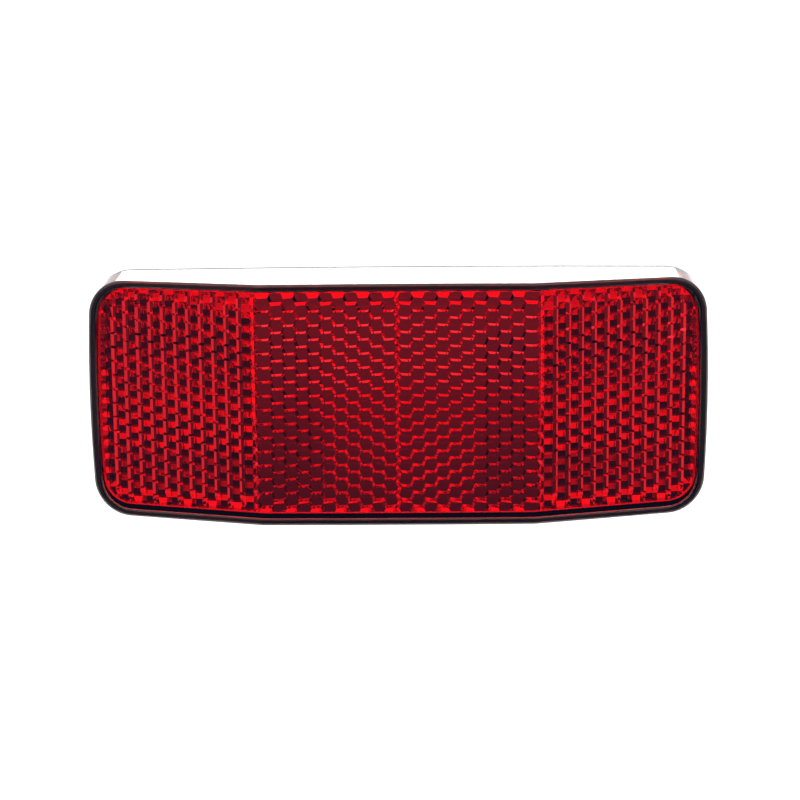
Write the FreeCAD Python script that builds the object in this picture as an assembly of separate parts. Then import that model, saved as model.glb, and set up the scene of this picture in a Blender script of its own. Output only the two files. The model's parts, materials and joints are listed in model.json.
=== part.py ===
import FreeCAD, Part
import math
import os

Vector = FreeCAD.Vector

# Wide rack reflector: a red lens cap with moulded prisms, a back plate and two captive bolts.
# X runs across the reflector, Y back towards the rack, Z up. The origin lies midway between the
# bolts, in the plane of the two pads that seat on the rack. All lengths are in millimetres.

# Outline, seen from the front
overall_width = 100.0
overall_height = 39.3
corner_radius = 6.0
long_edge_bow = 0.27      # how far the top and bottom edges fall away at the corners
end_bow = 0.7             # how far the two ends fall away at the corners

# Lens cap
cap_depth = 15.7          # front of the centre panel to the joint with the back plate
centre_panel_half = 21.8  # half the width of the flat centre panel
side_panel_angle = 14.8   # degrees that each side panel leans back
panel_bend_radius = 1.5   # rounding of the bends between the panels
front_edge_bevel = 0.35   # bevel of the outer front edge
rim_width_long = 1.1      # proud rim along the top and bottom
rim_width_end = 1.3       # proud rim along the two ends
rim_height = 0.45         # how far the rim stands proud of the panels
rim_inner_bevel = 0.2     # bevel of the rim's inner edge
front_wall = 2.6          # solid thickness of the front behind the panels
side_wall = 1.5           # thickness of the cap's walls

# Prism field: hexagonal pins whose ends are cube corners
centre_pitch = 2.295      # across the flats of a pin in the centre field
side_pitch = 2.33         # across the flats of a pin in the side fields
side_spacing = 2.147      # spacing of the pin columns along a side panel
field_margin = 0.6        # bare strip between the rim and the prisms
field_border = 22.55      # where the centre prisms end and the side prisms begin
centre_tilt = 5.0         # degrees that the centre pins lean outwards from straight ahead
side_tilt = 44.0          # degrees that the side pins lean outwards from straight ahead
centre_seam = 0.45        # extra spacing between the two halves of the centre field
field_root = 0.6          # how deep the prism block is rooted in the front wall
seam_phase = -0.2         # height of a pin next to the seam on the left
side_phase = 0.72         # height of a pin in the first column of a side field
side_shift = 1.54         # distance from the border to the second column of a side field

# Back plate
plate_thickness = 1.8
plate_edge_bevel = 0.6
joint_gap = 0.12          # clearance between the locating ribs and the cap's walls
rib_width = 1.2
rib_height = 2.0
rib_stop = 7.0            # how far the ribs end short of the outline's corners
pad_radius = 7.0
pad_height = 1.0
boss_wall = 1.5           # plastic moulded around and over a bolt head

# Bolts
bolt_spacing = 50.0
bolt_radius = 2.5         # outer radius of the threaded length
collar_radius = 3.1       # plain collar under the head, inside the plate
bolt_reach = 14.0         # how far a bolt stands out beyond the pads
head_across_flats = 8.0
head_height = 3.5
tip_chamfer = 0.8
bolt_clearance = 0.1      # around the collar and the head

# Planes that the pieces share
plate_back = -pad_height
joint_plane = plate_back - plate_thickness
front_plane = joint_plane - cap_depth

lean = math.radians(side_panel_angle)
far = overall_width
touching = 0.001          # points nearer than this count as one


def bow_radius(half_length, bow):
    # Radius of a side that falls away by the bow at both of its ends
    return (half_length ** 2 + bow ** 2) / (2 * bow)


def outline_prism(inset_end, inset_long, y_from, y_to):
    # The outline drawn in by the insets, carried from one depth to the other: four bowed sides
    # that run into four corner arcs
    half_width = overall_width / 2 - inset_end
    half_height = overall_height / 2 - inset_long
    radius = corner_radius - (inset_end + inset_long) / 2
    long_radius = bow_radius(half_width - end_bow, long_edge_bow)
    end_radius = bow_radius(half_height - long_edge_bow, end_bow)
    long_centre = Vector(0, y_from, half_height - long_radius)
    end_centre = Vector(half_width - end_radius, y_from, 0)

    # A corner's centre lies one corner radius inside both bows
    along_y = Vector(0, 1, 0)
    inside_long = Part.Circle(long_centre, along_y, long_radius - radius)
    inside_end = Part.Circle(end_centre, along_y, end_radius - radius)
    crossings = [Vector(point.X, point.Y, point.Z) for point in inside_long.intersect(inside_end)]
    centre = max(crossings, key=lambda point: point.x + point.z)
    long_touch = centre + (centre - long_centre).normalize() * radius
    end_touch = centre + (centre - end_centre).normalize() * radius
    middle = centre + ((long_touch + end_touch) / 2 - centre).normalize() * radius

    def in_quarter(point, sign_x, sign_z):
        return Vector(sign_x * point.x, y_from, sign_z * point.z)

    arcs = []
    for sign_x, sign_z in ((1, 1), (1, -1), (-1, -1), (-1, 1)):
        arcs.append([in_quarter(point, sign_x, sign_z) for point in (long_touch, middle, end_touch)])
    for sign in (1, -1):
        arcs.append([in_quarter(long_touch, -1, sign), Vector(0, y_from, sign * half_height),
                     in_quarter(long_touch, 1, sign)])
        arcs.append([in_quarter(end_touch, sign, -1), Vector(sign * half_width, y_from, 0),
                     in_quarter(end_touch, sign, 1)])
    edges = Part.__sortEdges__([Part.Arc(*points).toShape() for points in arcs])
    return Part.Face(Part.Wire(edges)).extrude(Vector(0, y_to - y_from, 0))


def behind_front(setback, bend_radius=0.0):
    # All the space behind the three front panels when they are moved back by setback
    bend_x = centre_panel_half - setback * math.tan(lean / 2)
    bend_y = front_plane + setback
    end_y = bend_y + (far - bend_x) * math.tan(lean)
    points = [Vector(-far, end_y, -far), Vector(-bend_x, bend_y, -far), Vector(bend_x, bend_y, -far),
              Vector(far, end_y, -far), Vector(far, end_y + far, -far), Vector(-far, end_y + far, -far)]
    block = Part.Face(Part.makePolygon(points + points[:1])).extrude(Vector(0, 0, 2 * far))
    if bend_radius == 0:
        return block
    bends = [edge for edge in block.Edges
             if abs(edge.tangentAt(edge.FirstParameter).z) > 0.99
             and abs(abs(edge.CenterOfMass.x) - bend_x) < touching]
    return block.makeFillet(bend_radius, bends)


def front_depth(x):
    # Depth of the rim's front at a place across the reflector
    return front_plane + max(0.0, abs(x) - centre_panel_half) * math.tan(lean)


def front_edges(shape, outline):
    # The loop of edges where an outline's walls meet the rim's front
    walls = Part.makeShell([face for face in outline.Faces if abs(face.normalAt(0, 0).y) < 0.5])
    loop = []
    for edge in shape.Edges:
        points = [vertex.Point for vertex in edge.Vertexes]
        points.append(edge.valueAt((edge.FirstParameter + edge.LastParameter) / 2))
        on_walls = all(walls.distToShape(Part.Vertex(point))[0] < touching for point in points)
        on_front = all(abs(point.y - front_depth(point.x)) < rim_height / 2 for point in points)
        if on_walls and on_front:
            loop.append(edge)
    return loop


def cap_body():
    # The cap without its prisms: outer form, proud rim and hollow inside
    outline = outline_prism(0, 0, front_plane - front_wall, joint_plane)
    body = outline.common(behind_front(0, panel_bend_radius))
    body = body.makeChamfer(front_edge_bevel, front_edges(body, outline))
    window = outline_prism(rim_width_end, rim_width_long, front_plane - front_wall, joint_plane)
    body = body.cut(window.cut(behind_front(rim_height, panel_bend_radius)))
    body = body.makeChamfer(rim_inner_bevel, front_edges(body, window))
    hollow = outline_prism(side_wall, side_wall, front_plane, joint_plane + side_wall)
    return body.cut(hollow.common(behind_front(rim_height + front_wall)))


def pin_block(side, panel_lean, pin_pitch, pin_tilt, spacing, first_column, columns, first_row, rows):
    # A closed block of pins on one panel. side is -1 on the left and 1 on the right. Every pin
    # ends in three faces that meet at its tip at right angles. The columns follow the panel at
    # the spacing, so each one stands a little further forward than its inner neighbour.
    tilt = math.radians(pin_tilt)
    axis = Vector(-side * math.sin(tilt), math.cos(tilt), 0)
    inward = Vector(-side * math.cos(tilt), -math.sin(tilt), 0)
    up = Vector(0, 0, 1)
    along = Vector(side * math.cos(panel_lean), math.sin(panel_lean), 0)
    back = Vector(-side * math.sin(panel_lean), math.cos(panel_lean), 0)
    ring = pin_pitch / math.sqrt(3)
    cube_third = pin_pitch / math.sqrt(6)
    slant = tilt - panel_lean
    valley = 2 * cube_third * math.cos(slant) + ring * math.sin(slant)

    # The three edges that leave a tip. The outward one is shortened to fit the columns' spacing.
    shortening = spacing * math.cos(slant) / ring - 0.5
    outward_edge = (inward * -ring - axis * cube_third) * shortening
    upper_edge = inward * (ring / 2) + up * (pin_pitch / 2) - axis * cube_third
    lower_edge = inward * (ring / 2) - up * (pin_pitch / 2) - axis * cube_third
    fall = spacing * math.sin(slant) + (1 - shortening) * cube_third
    panel_start = (centre_panel_half - rim_height * math.tan(lean / 2)) if panel_lean else 0.0
    panel_point = Vector(side * panel_start, front_plane + rim_height, 0)
    base_point = panel_point + back * (front_wall - field_root)
    first_tip = (panel_point + along * ((first_column - panel_start) / math.cos(panel_lean))
                 + back * (front_wall + valley) + up * first_row)

    def key(point):
        return (round(point.x, 4), round(point.y, 4), round(point.z, 4))

    quads = []
    for column in range(columns):
        for row in range(rows):
            height = row * pin_pitch + (column % 2) * pin_pitch / 2
            tip = first_tip + along * (column * spacing) + up * height
            above, outer, below = tip + upper_edge, tip + outward_edge, tip + lower_edge
            quads.append((tip, above, above + outward_edge, outer))
            quads.append((tip, outer, below + outward_edge, below))
            quads.append((tip, below, below + upper_edge, above))
            if column < columns - 1:
                wall = [above + outward_edge, outer, below + outward_edge]
                foot = [point - axis * fall for point in wall]
                quads.append((wall[1], wall[0], foot[0], foot[1]))
                quads.append((wall[2], wall[1], foot[1], foot[2]))

    # Edges that only one facet uses make the loop round the pin ends
    uses = {}
    for quad in quads:
        for start, end in zip(quad, quad[1:] + quad[:1]):
            uses.setdefault(frozenset((key(start), key(end))), []).append((start, end))
    following = {key(runs[0][0]): runs[0][1] for runs in uses.values() if len(runs) == 1}
    loop = [next(end for end in following.values())]
    while len(loop) < len(following):
        loop.append(following[key(loop[-1])])

    def height_over_base(point):
        return (point - base_point).dot(back)

    def to_base(point):
        return point - axis * (height_over_base(point) / axis.dot(back))

    def is_upright(start, end):
        return (end - start).cross(axis).Length < touching

    # Each edge of the loop carries a wall down to the base, and the wall takes in the end of an
    # upright edge beside it, so that neighbouring walls share their corners
    faces = [Part.Face(Part.makePolygon(list(quad) + [quad[0]])) for quad in quads]
    floor = []
    count = len(loop)
    for i, start in enumerate(loop):
        before, end, after = loop[i - 1], loop[(i + 1) % count], loop[(i + 2) % count]
        if is_upright(start, end):
            continue
        wall = [start, end]
        if is_upright(end, after) and height_over_base(after) < height_over_base(end):
            wall.append(after)
        wall += [to_base(end), to_base(start)]
        if is_upright(before, start) and height_over_base(before) < height_over_base(start):
            wall.append(before)
        floor.append(to_base(start))
        faces.append(Part.Face(Part.makePolygon(wall + wall[:1])))
    faces.append(Part.Face(Part.makePolygon(floor + floor[:1])))
    shell = Part.makeShell(faces)
    shell.sewShape()
    block = Part.makeSolid(shell)
    if block.Volume < 0:
        block.reverse()
    return block


def seam_side(side, rows, first_row):
    # The space on one side of the zigzag seam between the two halves of the centre field
    swing = centre_pitch / math.sqrt(3) / 4
    points = [Vector((-1) ** (i + 1) * swing, front_plane, first_row + (i - 1) * centre_pitch / 2)
              for i in range(2 * rows + 2)]
    points += [Vector(side * far, front_plane, points[-1].z), Vector(side * far, front_plane, points[0].z)]
    return Part.Face(Part.makePolygon(points + points[:1])).extrude(Vector(0, cap_depth, 0))


def between(inner, outer, side):
    # An upright slab on one side, from one distance off the centre line to another
    slab = Part.makeBox(outer - inner, cap_depth, 2 * far, Vector(inner, front_plane, -far))
    return slab if side > 0 else slab.mirror(Vector(), Vector(1, 0, 0))


def prism_fields():
    # The four blocks of prisms, trimmed to the panel's outline, the seam and the borders
    field = outline_prism(rim_width_end + field_margin, rim_width_long + field_margin,
                          front_plane, joint_plane)
    centre_step = centre_pitch * math.sqrt(3) / 2 / math.cos(math.radians(centre_tilt))
    side_step = side_spacing * math.cos(lean)
    centre_columns = int(field_border / centre_step) + 3
    side_columns = int((overall_width / 2 - field_border) / side_step) + 3
    centre_rows = int(overall_height / centre_pitch) + 3
    side_rows = int(overall_height / side_pitch) + 3
    centre_bottom = seam_phase - (centre_rows // 2) * centre_pitch
    side_bottom = side_phase - (side_rows // 2) * side_pitch
    blocks = []
    for side in (-1, 1):
        stagger = centre_pitch / 2 if side < 0 else 0.0
        first_column = (centre_seam - centre_step) / 2
        block = pin_block(side, 0.0, centre_pitch, centre_tilt, centre_step, first_column,
                          centre_columns, centre_bottom - stagger, centre_rows)
        block = block.common(seam_side(side, centre_rows, centre_bottom))
        blocks.append(block.common(field.common(between(-far, field_border, side))))
        first_column = field_border + side_shift - side_step
        block = pin_block(side, lean, side_pitch, side_tilt, side_spacing, first_column,
                          side_columns, side_bottom, side_rows)
        blocks.append(block.common(field.common(between(field_border, far, side))))
    return blocks


def lens_cap():
    # The cap and its prisms, one moulding
    return cap_body().multiFuse(prism_fields()).Solids[0]


def upright_cylinder(radius, x, y_from, y_to):
    # A round bar along Y through one of the bolt positions
    return Part.makeCylinder(radius, y_to - y_from, Vector(x, y_from, 0), Vector(0, 1, 0))


def hexagon_bar(across_flats, x, y_from, y_to):
    # A hexagonal bar along Y with a flat on top
    ring = across_flats / math.sqrt(3)
    corners = [Vector(x + ring * math.cos(math.radians(60 * i)), y_from,
                      ring * math.sin(math.radians(60 * i))) for i in range(6)]
    return Part.Face(Part.makePolygon(corners + corners[:1])).extrude(Vector(0, y_to - y_from, 0))


def centred_box(width, height, y_from, y_to):
    # A box about the middle of the outline
    return Part.makeBox(width, y_to - y_from, height, Vector(-width / 2, y_from, -height / 2))


def back_plate():
    # The plate with its four locating ribs, the pads on its back and the bosses over the bolt heads
    plate = outline_prism(0, 0, joint_plane, plate_back)
    back_edges = [edge for edge in plate.Edges
                  if all(abs(vertex.Point.y - plate_back) < touching for vertex in edge.Vertexes)]
    plate = plate.makeChamfer(plate_edge_bevel, back_edges)
    rib_inset = side_wall + joint_gap
    rib_top = joint_plane - rib_height
    ring = outline_prism(rib_inset, rib_inset, rib_top, joint_plane)
    ring = ring.cut(outline_prism(rib_inset + rib_width, rib_inset + rib_width, rib_top, joint_plane))
    pieces = []
    for stop_x, stop_z in ((rib_stop, 0), (0, rib_stop)):
        straight = centred_box(overall_width - 2 * stop_x, overall_height - 2 * stop_z,
                               rib_top, joint_plane)
        pieces += ring.common(straight).Solids
    pockets = []
    boss_radius = head_across_flats / math.sqrt(3) + boss_wall
    head_front = joint_plane - head_height - bolt_clearance
    boss_front = head_front - boss_wall
    for x in (-bolt_spacing / 2, bolt_spacing / 2):
        pieces.append(upright_cylinder(pad_radius, x, plate_back, 0))
        pieces.append(upright_cylinder(boss_radius, x, boss_front, joint_plane))
        pockets.append(hexagon_bar(head_across_flats + 2 * bolt_clearance, x,
                                   head_front, joint_plane))
        pockets.append(upright_cylinder(collar_radius + bolt_clearance, x, joint_plane, 0))
    return plate.multiFuse(pieces).cut(Part.makeCompound(pockets)).removeSplitter().Solids[0]


def mounting_bolt(x):
    # A hexagon-head bolt whose head seats on the pocket's floor. Its collar fills the plate's
    # hole, and its thread starts at the pad.
    head = hexagon_bar(head_across_flats, x, joint_plane - head_height, joint_plane)
    collar = upright_cylinder(collar_radius, x, joint_plane, 0)
    thread = upright_cylinder(bolt_radius, x, 0, bolt_reach)
    tip = [edge for edge in thread.Edges if abs(edge.CenterOfMass.y - bolt_reach) < touching]
    return head.multiFuse([collar, thread.makeChamfer(tip_chamfer, tip)]).removeSplitter().Solids[0]


os.makedirs("parts", exist_ok=True)
lens_cap().exportStep("parts/lens_cap.step")
back_plate().exportStep("parts/back_plate.step")
Part.makeCompound([mounting_bolt(-bolt_spacing / 2), mounting_bolt(bolt_spacing / 2)]).exportStep(
    "parts/mounting_bolts.step")
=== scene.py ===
import bpy
import json
import math
import numpy as np
from mathutils import Matrix, Vector
from mathutils.kdtree import KDTree


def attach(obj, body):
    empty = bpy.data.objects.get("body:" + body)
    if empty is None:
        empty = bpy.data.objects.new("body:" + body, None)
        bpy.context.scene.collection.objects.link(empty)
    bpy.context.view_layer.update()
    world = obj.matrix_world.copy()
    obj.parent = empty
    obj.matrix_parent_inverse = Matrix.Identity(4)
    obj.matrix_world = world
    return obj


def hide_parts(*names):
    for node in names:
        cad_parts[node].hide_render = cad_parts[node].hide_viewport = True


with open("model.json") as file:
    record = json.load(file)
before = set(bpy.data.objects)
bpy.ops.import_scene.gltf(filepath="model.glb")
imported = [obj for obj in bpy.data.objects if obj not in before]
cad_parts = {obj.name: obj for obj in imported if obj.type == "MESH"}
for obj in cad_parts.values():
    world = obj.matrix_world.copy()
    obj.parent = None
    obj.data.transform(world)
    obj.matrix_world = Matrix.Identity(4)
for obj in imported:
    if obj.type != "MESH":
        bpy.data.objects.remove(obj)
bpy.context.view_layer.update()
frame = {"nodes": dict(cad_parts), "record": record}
mm = 0.001


# one socket of a node tree, so that shader maths reads as plain expressions
class Wire:
    def __init__(self, tree, socket):
        self.tree = tree
        self.socket = socket

    def math(self, operation, *values):
        return self.tree.add("ShaderNodeMath", {"operation": operation}, dict(enumerate(values)))

    def __add__(self, other):
        return self.math("ADD", self, other)

    def __sub__(self, other):
        return self.math("SUBTRACT", self, other)

    def __mul__(self, other):
        return self.math("MULTIPLY", self, other)

    def __radd__(self, other):
        return self.math("ADD", other, self)

    def __rsub__(self, other):
        return self.math("SUBTRACT", other, self)

    def __rmul__(self, other):
        return self.math("MULTIPLY", other, self)

    def __abs__(self):
        return self.math("ABSOLUTE", self)

    def above(self, other):  # the larger of the two
        return self.math("MAXIMUM", self, other)

    def over(self, other):  # 1 where this value is the larger one
        return self.math("GREATER_THAN", self, other)

    def ease(self, span, start=0.0, end=1.0):  # a smooth step from start to end over a span
        return self.tree.add("ShaderNodeMapRange", {"interpolation_type": "SMOOTHSTEP"},
                             {"Value": self, "From Min": span[0], "From Max": span[1],
                              "To Min": start, "To Max": end})


# a node tree with one method for any node
class Tree:
    def __init__(self, owner):
        owner.use_nodes = True
        self.nodes = owner.node_tree.nodes
        self.links = owner.node_tree.links

    def put(self, node, name, value):
        socket = node.inputs[name]
        if isinstance(value, Wire):
            self.links.new(value.socket, socket)
        else:
            socket.default_value = value

    def add(self, kind, settings=None, values=None, out=0):
        node = self.nodes.new(kind)
        for name, value in (settings or {}).items():
            setattr(node, name, value)
        for name, value in (values or {}).items():
            self.put(node, name, value)
        return Wire(self, node.outputs[out])

    def split(self, vector):
        place = self.add("ShaderNodeSeparateXYZ", {}, {"Vector": vector})
        outputs = place.socket.node.outputs
        return [Wire(self, outputs[axis]) for axis in "XYZ"]

    def place(self):  # where a point lies in the part's frame, in metres
        return self.add("ShaderNodeTexCoord", out="Object")


def finish(name, values):  # a material with one Principled shader
    material = bpy.data.materials.new(name)
    tree = Tree(material)
    shader = tree.nodes["Principled BSDF"]
    for socket, value in values.items():
        tree.put(shader, socket, value)
    return material, tree, shader


def dress(piece, material):
    piece.data.materials.clear()
    piece.data.materials.append(material)


def newPiece(name, points, faces):  # points in millimetres
    mesh = bpy.data.meshes.new(name)
    mesh.from_pydata((points * mm).tolist(), [], faces)
    piece = bpy.data.objects.new(name, mesh)
    bpy.context.collection.objects.link(piece)
    return piece


# side pins of the lens, in millimetres and degrees, as the CAD lens has them
pins = {
    "pitch": 2.33,         # from pin to pin up a column
    "spacing": 2.147,      # from column to column
    "tilt": 44.0,          # of the pins, from straight back
    "panelLean": 14.8,
    "panelStart": 21.742,  # where the panel's face begins
    "panelFront": -18.05,
    "firstColumn": 22.014,
    "firstRow": -20.25,
    "frontWall": 2.6,
    "columns": 16,
    "rows": 20,
    "notch": 1.05,         # how far the foot of a wall moves forward
    "weld": 0.002,         # points of the CAD mesh nearer than this are one
    "reach": 0.02,         # a point nearer than this is the one looked for
}

lens = {
    "colour": (1.0, 0.045, 0.06, 1.0),    # where light enters and leaves
    "absorption": (0.82, 0.0, 0.0, 1.0),  # along its path
    "density": 80.0,
    "ior": 1.49,
    "windowHalfWidth": 48.7,  # the window inside the proud rim
    "windowHalfHeight": 18.5,
    "windowRadius": 4.8,
    "panelHalf": 21.8,        # half the width of the flat centre
    "front": -18.5,
    "rimDepth": 0.35,         # how far behind the front the rim's rough face reaches
    "rimRoughness": 0.3,
}


def weldedLens():
    # points in millimetres and triangles of the CAD lens, with one point where faces meet
    source = frame["nodes"]["lens_cap"].data
    source.calc_loop_triangles()
    points = np.zeros(len(source.vertices) * 3)
    corners = np.zeros(len(source.loop_triangles) * 3, dtype=np.int32)
    source.vertices.foreach_get("co", points)
    source.loop_triangles.foreach_get("vertices", corners)
    points = points.reshape(-1, 3) / mm
    grid = np.round(points / pins["weld"]).astype(np.int64)
    first, same = np.unique(grid, axis=0, return_index=True, return_inverse=True)[1:]
    return points[first], same.reshape(-1)[corners].reshape(-1, 3)


def pinWalls(side):
    # six points of each wall between two columns: the end of a ridge, the valley ends above and
    # below it, and the same three moved forward along the pins to the foot of the wall
    tilt, lean = math.radians(pins["tilt"]), math.radians(pins["panelLean"])
    pitch, spacing = pins["pitch"], pins["spacing"]
    slant = tilt - lean
    ring = pitch / math.sqrt(3)   # from a pin's middle to its corners
    third = pitch / math.sqrt(6)  # from one level of a cube corner's points to the next
    axis = np.array([-side * math.sin(tilt), math.cos(tilt), 0.0])
    inward = np.array([-side * math.cos(tilt), -math.sin(tilt), 0.0])
    along = np.array([side * math.cos(lean), math.sin(lean), 0.0])
    back = np.array([-side * math.sin(lean), math.cos(lean), 0.0])
    up = np.array([0.0, 0.0, 1.0])
    share = spacing * math.cos(slant) / ring - 0.5  # of the ridge that the next column leaves
    ridge = (-inward * ring - axis * third) * share
    valley = inward * ring / 2 - axis * third
    foot = -axis * (spacing * math.sin(slant) + (1 - share) * third)
    depth = pins["frontWall"] + 2 * third * math.cos(slant) + ring * math.sin(slant)
    start = np.array([side * pins["panelStart"], pins["panelFront"], pins["firstRow"]])
    start = start + back * depth + along * (pins["firstColumn"] - pins["panelStart"]) / math.cos(lean)
    column, row = np.mgrid[:pins["columns"], :pins["rows"]].reshape(2, -1, 1)
    end = start + along * column * spacing + up * (row + column % 2 / 2) * pitch + ridge
    top = np.stack([end, end + valley + up * pitch / 2, end + valley - up * pitch / 2], axis=1)
    return np.concatenate([top, top + foot], axis=1)


def flatWalls(points, triangles):
    # each wall's four folded triangles become an upright strip with a gable at either end, and
    # the foot of the strip moves forward along the pins' third faces to deepen the notch
    nearest = KDTree(len(points))
    for index, point in enumerate(points):
        nearest.insert(point, index)
    nearest.balance()
    around = {}  # the triangles round each point
    for number, corners in enumerate(triangles.tolist()):
        for corner in corners:
            around.setdefault(corner, set()).add(number)
    dropped, added, feet = set(), [], set()
    for wall in np.concatenate([pinWalls(-1), pinWalls(1)]):
        found = [nearest.find(point) for point in wall]
        if max(distance for place, index, distance in found) > pins["reach"]:
            continue  # outside the window, or cut by its edge
        six = [index for place, index, distance in found]
        end, above, below, foot, footAbove, footBelow = six
        folded = [number for number in around[end] | around[foot] if set(triangles[number]) <= set(six)]
        if len(folded) != 4:
            continue
        runs = {run for number in folded
                for run in zip(triangles[number], np.roll(triangles[number], -1))}
        strip = [(above, end, below), (above, below, footBelow), (above, footBelow, footAbove),
                 (footAbove, footBelow, foot)]
        added += strip if (above, end) in runs else [face[::-1] for face in strip]
        dropped |= set(folded)
        feet |= {footAbove, footBelow}
    feet = sorted(feet)
    turn = math.radians(pins["tilt"]) - math.asin(1 / math.sqrt(3))  # of the third faces
    points[feet, 0] += pins["notch"] * math.sin(turn) * np.sign(points[feet, 0])
    points[feet, 1] -= pins["notch"] * math.cos(turn)
    kept = [number for number in range(len(triangles)) if number not in dropped]
    print("pin walls", len(added) // 4)
    return points, triangles[kept].tolist() + added


def onRim(tree):
    # 1 on the front of the rim: outside the window's rounded outline and just behind the front,
    # which leans back with the side panels
    x, y, z = tree.split(tree.place())
    across, height, depth = abs(x) * (1 / mm), abs(z) * (1 / mm), y * (1 / mm)
    beyondEnd = (across - (lens["windowHalfWidth"] - lens["windowRadius"])).above(0.0)
    beyondTop = (height - (lens["windowHalfHeight"] - lens["windowRadius"])).above(0.0)
    outside = (beyondEnd * beyondEnd + beyondTop * beyondTop).over(lens["windowRadius"] ** 2)
    slope = math.tan(math.radians(pins["panelLean"]))
    front = (across - lens["panelHalf"]).above(0.0) * slope + (lens["front"] + lens["rimDepth"])
    return outside * (front - depth).over(0.0)


def makeLens():
    piece = newPiece("prismLens", *flatWalls(*weldedLens()))
    material, tree, shader = finish("redLensClear", {
        "Base Color": lens["colour"],
        "IOR": lens["ior"],
        "Transmission Weight": 1.0,
    })
    tree.put(shader, "Roughness", lens["rimRoughness"] * onRim(tree))
    body = tree.add("ShaderNodeVolumeAbsorption", {},
                    {"Color": lens["absorption"], "Density": lens["density"]})
    tree.put(tree.nodes["Material Output"], "Volume", body)
    dress(piece, material)
    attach(piece, "root")
    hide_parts("lens_cap")
    print("lens dressed")


plate = {
    "colour": (0.020, 0.020, 0.023, 1.0),
    "roughness": 0.45,
    "roughnessSpread": 0.2,
    "grainScale": 900.0,
    "grainDetail": 3.0,
    "grainHeight": 0.02,
    "grainStrength": 0.25,
}


def makePlate():
    material, tree, shader = finish("blackMouldedPlastic", {"Base Color": plate["colour"]})
    grain = tree.add("ShaderNodeTexNoise", {}, {
        "Vector": tree.place(), "Scale": plate["grainScale"], "Detail": plate["grainDetail"]})
    tree.put(shader, "Roughness", plate["roughness"] + plate["roughnessSpread"] * (grain - 0.5))
    bump = tree.add("ShaderNodeBump", {}, {
        "Height": grain, "Strength": plate["grainStrength"], "Distance": plate["grainHeight"] * mm})
    tree.put(shader, "Normal", bump)
    dress(frame["nodes"]["back_plate"], material)
    print("plate dressed")


# the two bolts, in millimetres
bolt = {
    "radius": 2.5,
    "threadPitch": 0.8,
    "threadDepth": 0.44,
    "threadFlat": 0.1,     # share of the wave that is flat at the crest, and at the root
    "collarRadius": 3.1,
    "headFlats": 8.0,
    "headTop": -6.3,
    "seat": -2.8,
    "pad": 0.0,
    "tip": 14.0,
    "tipChamfer": 0.8,
    "sides": 72,
    "perTurn": 12,
    "colour": (0.50, 0.52, 0.55, 1.0),
    "cloudScale": 350.0,
    "cloudDetail": 4.0,
    "roughness": 0.22,
    "roughnessSpread": 0.22,
}


def boltGrid(x):
    # radius over the turn and the length: a hexagon for the head, a circle for the collar, and a
    # triangle wave that climbs one pitch a turn for the thread, cut back by a cone at the tip
    turn = np.linspace(0, 2 * np.pi, bolt["sides"], endpoint=False)
    sector = turn % (np.pi / 3) - np.pi / 6
    hexagon = bolt["headFlats"] / 2 / np.cos(sector)
    collar = np.full_like(turn, bolt["collarRadius"])
    count = int((bolt["tip"] - bolt["pad"]) / bolt["threadPitch"] * bolt["perTurn"])
    along = np.linspace(bolt["pad"], bolt["tip"], count)[:, None]
    phase = (along / bolt["threadPitch"] - turn / (2 * np.pi)) % 1.0
    wave = np.abs(2 * phase - 1)
    groove = np.clip((wave - bolt["threadFlat"]) / (1 - 2 * bolt["threadFlat"]), 0.0, 1.0)
    cone = bolt["radius"] - bolt["tipChamfer"] + (bolt["tip"] - along)
    thread = np.minimum(bolt["radius"] - bolt["threadDepth"] * groove, cone)
    ends = np.array([bolt["headTop"], bolt["seat"], bolt["seat"], bolt["pad"]])[:, None]
    depth = np.concatenate([ends, along])
    reach = np.concatenate([[hexagon, hexagon, collar, collar], thread])
    return np.stack([x + reach * np.cos(turn), np.broadcast_to(depth, reach.shape),
                     reach * np.sin(turn)], axis=-1)


def gridFaces(rows, sides, first):
    # quads between neighbouring rows, and a fan to a pole at each end
    row, side = np.meshgrid(np.arange(rows - 1), np.arange(sides), indexing="ij")
    ahead = (side + 1) % sides
    quads = np.stack([row * sides + side, (row + 1) * sides + side,
                      (row + 1) * sides + ahead, row * sides + ahead], axis=-1).reshape(-1, 4) + first
    around = np.arange(sides)
    onward = (around + 1) % sides
    headPole = first + rows * sides
    start = np.stack([np.full(sides, headPole), first + around, first + onward], axis=-1)
    last = first + (rows - 1) * sides
    end = np.stack([np.full(sides, headPole + 1), last + onward, last + around], axis=-1)
    return quads.tolist() + start.tolist() + end.tolist()


def makeBolts():
    blocks, faces, first = [], [], 0
    spacing = frame["record"]["mounts"][0]["dims"]["pcd_mm"]
    for x in (-spacing / 2, spacing / 2):
        grid = boltGrid(x)
        poles = [[x, bolt["headTop"], 0.0], [x, bolt["tip"], 0.0]]
        blocks.append(np.concatenate([grid.reshape(-1, 3), poles]))
        faces += gridFaces(*grid.shape[:2], first)
        first += len(blocks[-1])
    piece = newPiece("threadedBolts", np.concatenate(blocks), faces)
    material, tree, shader = finish("zincPlate", {"Base Color": bolt["colour"], "Metallic": 1.0})
    cloud = tree.add("ShaderNodeTexNoise", {}, {
        "Vector": tree.place(), "Scale": bolt["cloudScale"], "Detail": bolt["cloudDetail"]})
    tree.put(shader, "Roughness", bolt["roughness"] + bolt["roughnessSpread"] * cloud)
    dress(piece, material)
    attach(piece, "root")
    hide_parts("mounting_bolts")
    print("bolts threaded")


# the floor, in millimetres
stage = {
    "height": -200.0,
    "front": -20.0,
    "back": 6000.0,
    "side": 5000.0,
    "colour": (0.95, 0.95, 0.95, 1.0),
    "roughness": 0.9,
}


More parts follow.
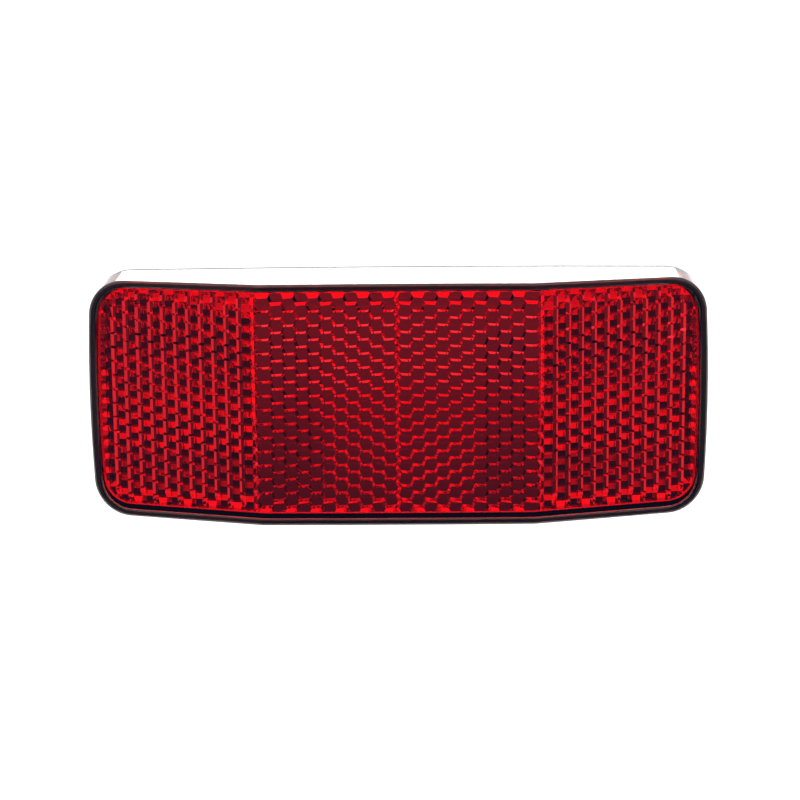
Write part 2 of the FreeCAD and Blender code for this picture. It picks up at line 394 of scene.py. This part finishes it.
def makeFloor():
    front, back, side, height = (stage[name] for name in ("front", "back", "side", "height"))
    corners = np.array([(-side, front, height), (side, front, height),
                        (side, back, height), (-side, back, height)])
    floor = newPiece("paleFloor", corners, [(0, 1, 2, 3)])
    paper = finish("palePaper", {"Base Color": stage["colour"], "Roughness": stage["roughness"]})[0]
    dress(floor, paper)
    print("floor laid")


# levels of the soft light, and the spans of a direction's y or z over which each one fades
studio = {
    "around": 0.98,            # from all round
    "overhead": 1.5,
    "overheadSpan": (0.35, 0.6),
    "overBack": 1.65,          # overhead, towards the back
    "overBackSpan": (-0.1, 0.3),
    "cameraAxis": (0.017, -0.975, 0.221),
    "darkWithin": 20.0,        # degrees from the camera's direction that stay dark
    "lightBeyond": 32.0,
    "frontLow": 0.19,          # round the camera, darker above it than below
    "frontHigh": 0.06,
    "frontSpan": (0.15, 0.29),
    "lowDark": 0.25,           # the bluish room in front of the reflector, below its middle
    "lowFrontSpan": (-0.75, -0.5),
    "lowTopSpan": (-0.05, 0.08),
    "blue": (0.28, 0.42, 1.0),
    "cardGlow": 3.2,           # bright card behind the reflector, just above its top
    "cardFootSpan": (0.08, 0.14),
    "cardHeadSpan": (0.26, 0.36),
    "cardSideSpan": (0.8, 0.92),
}


def makeStudio():
    # the level in a direction: a dome that is brighter overhead, then the dark round the camera and
    # the low dark room blended over it, and the card added. The camera itself sees plain white
    world = bpy.data.worlds.new("softStudio")
    bpy.context.scene.world = world
    tree = Tree(world)
    way = tree.add("ShaderNodeVectorMath", {"operation": "NORMALIZE"},
                   {0: tree.add("ShaderNodeTexCoord", out="Generated")})
    back, up = tree.split(way)[1:]
    facing = tree.add("ShaderNodeVectorMath", {"operation": "DOT_PRODUCT"},
                      {0: way, 1: studio["cameraAxis"]}, "Value")
    near = facing.ease([math.cos(math.radians(studio[name])) for name in ("lightBeyond", "darkWithin")])
    low = back.ease(studio["lowFrontSpan"], 1.0, 0.0) * up.ease(studio["lowTopSpan"], 1.0, 0.0)
    card = (up.ease(studio["cardFootSpan"]) * up.ease(studio["cardHeadSpan"], 1.0, 0.0)
            * back.ease(studio["cardSideSpan"]))
    overhead = back.ease(studio["overBackSpan"], studio["overhead"], studio["overBack"])
    dome = studio["around"] + up.ease(studio["overheadSpan"]) * (overhead - studio["around"])
    front = up.ease(studio["frontSpan"], studio["frontLow"], studio["frontHigh"])
    room = dome + near * (front - dome)
    glow = room + low * (studio["lowDark"] - room) + card * studio["cardGlow"]
    seen = tree.add("ShaderNodeLightPath", out="Is Camera Ray")
    dim = low * (1 - seen)
    tint = tree.add("ShaderNodeCombineColor", {}, {
        channel: 1 - dim * (1 - level)
        for channel, level in zip(("Red", "Green", "Blue"), studio["blue"])})
    tree.put(tree.nodes["Background"], "Color", tint)
    tree.put(tree.nodes["Background"], "Strength", seen + (1 - seen) * glow)
    print("studio lit")


camera = {
    "elevation": 12.76,
    "azimuth": 0.99,
    "roll": -0.56,
    "distance": 402.3,    # millimetres from the middle of the front plane
    "frontPlane": -18.5,
    "frame": 800,         # pixels, as are the next two
    "focal": 2533.0,
    "centre": (397.5, 406.06),
    "sensor": 36.0,       # millimetres
    "nearest": 1.0,
}


def makeCamera():
    rise, around, roll = (math.radians(camera[name]) for name in ("elevation", "azimuth", "roll"))
    away = Vector((math.cos(rise) * math.sin(around), -math.cos(rise) * math.cos(around), math.sin(rise)))
    across = (-away).cross(Vector((0, 0, 1))).normalized()
    upward = across.cross(-away)
    right = math.cos(roll) * across + math.sin(roll) * upward
    top = math.cos(roll) * upward - math.sin(roll) * across
    pose = Matrix((right, top, away)).transposed().to_4x4()
    pose.translation = (away * camera["distance"] + Vector((0, camera["frontPlane"], 0))) * mm
    view = bpy.data.cameras.new("view")
    view.sensor_width = camera["sensor"]
    view.lens = camera["sensor"] * camera["focal"] / camera["frame"]
    view.shift_x = 0.5 - camera["centre"][0] / camera["frame"]
    view.shift_y = camera["centre"][1] / camera["frame"] - 0.5
    view.clip_start = camera["nearest"] * mm
    holder = bpy.data.objects.new("view", view)
    holder.matrix_world = pose
    bpy.context.collection.objects.link(holder)
    bpy.context.scene.camera = holder
    print("camera set")


makeLens()
makePlate()
makeBolts()
makeFloor()
makeStudio()
makeCamera()

bounces = 32  # enough for light to find its way through the pins
scene = bpy.context.scene
scene.cycles.max_bounces = bounces
scene.cycles.transmission_bounces = bounces
scene.cycles.glossy_bounces = bounces
scene.view_settings.view_transform = "Standard"

bpy.context.view_layer.update()
